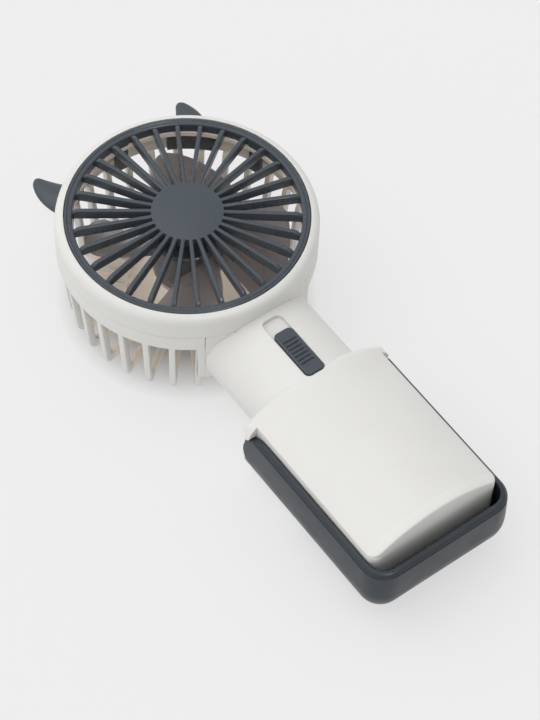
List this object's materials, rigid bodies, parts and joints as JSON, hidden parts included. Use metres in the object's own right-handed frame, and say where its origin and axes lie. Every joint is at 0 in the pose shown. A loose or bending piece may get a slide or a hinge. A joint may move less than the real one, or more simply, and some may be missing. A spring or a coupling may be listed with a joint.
{
  "type": "handheld usb mini fan",
  "caption": "Palm-size fan: round caged head with two horns, oval neck with a slide switch, battery handle, and a fold-out stand that wraps the handle's back and sides.",
  "frame": {"origin": "on the surface that the fan lies on, under the middle of the whole", "axes": "+Z is the way the air blows, +Y runs from the handle to the head, +X is to the right seen from the front"},
  "size_m": [0.082, 0.176, 0.0424],
  "materials": {
    "shell_white": "fine satin",
    "slate": "satin",
    "smoke": "smoky gloss",
    "steel": "drawn",
    "magnet": "sintered",
    "laminations": "stamped",
    "copper": "enamelled wire",
    "bronze": "sintered",
    "board": "coated glass fibre",
    "black": "moulded",
    "grey": "moulded",
    "lamp": "clear yellow",
    "foil": "foil pouch",
    "foam": "foam",
    "red_wire": "insulation",
    "black_wire": "insulation"
  },
  "bodies": {
    "handle": {"front_shell": "shell_white", "rear_shell": "shell_white", "rear_grille": "shell_white", "front_grille": "slate", "horn_left": "slate", "horn_right": "slate", "shell_screws": "steel", "board_screws": "steel", "usb_socket": "steel", "stator_core": "laminations", "stator_windings": "copper", "motor_bearing": "bronze", "motor_board": "board", "control_board": "board", "charge_board": "board", "driver_chip": "black", "switch_body": "grey", "charge_led": "lamp", "battery_cell": "foil", "battery_pad": "foam", "red_leads": "red_wire", "black_leads": "black_wire"},
    "rotor": {"impeller": "smoke", "rotor_yoke": "steel", "rotor_magnet": "magnet", "motor_shaft": "steel", "shaft_clip": "steel"},
    "slider": {"slider_button": "slate", "switch_actuator": "black"},
    "stand": {"stand": "slate"}
  },
  "joints": [
    {"name": "impeller_spin", "type": "hinge", "parent": "handle", "child": "rotor", "pos_m": [0, 0.04397, 0.02], "axis": [0, 0, -1], "continuous": true},
    {"name": "switch_slide", "type": "slide", "parent": "handle", "child": "slider", "axis": [0, 1, 0], "range_m": [0, 0.0054]},
    {"name": "stand_fold", "type": "hinge", "parent": "handle", "child": "stand", "pos_m": [0, -0.03093, 0.0165], "axis": [1, 0, 0], "range_deg": [0, 70]}
  ]
}
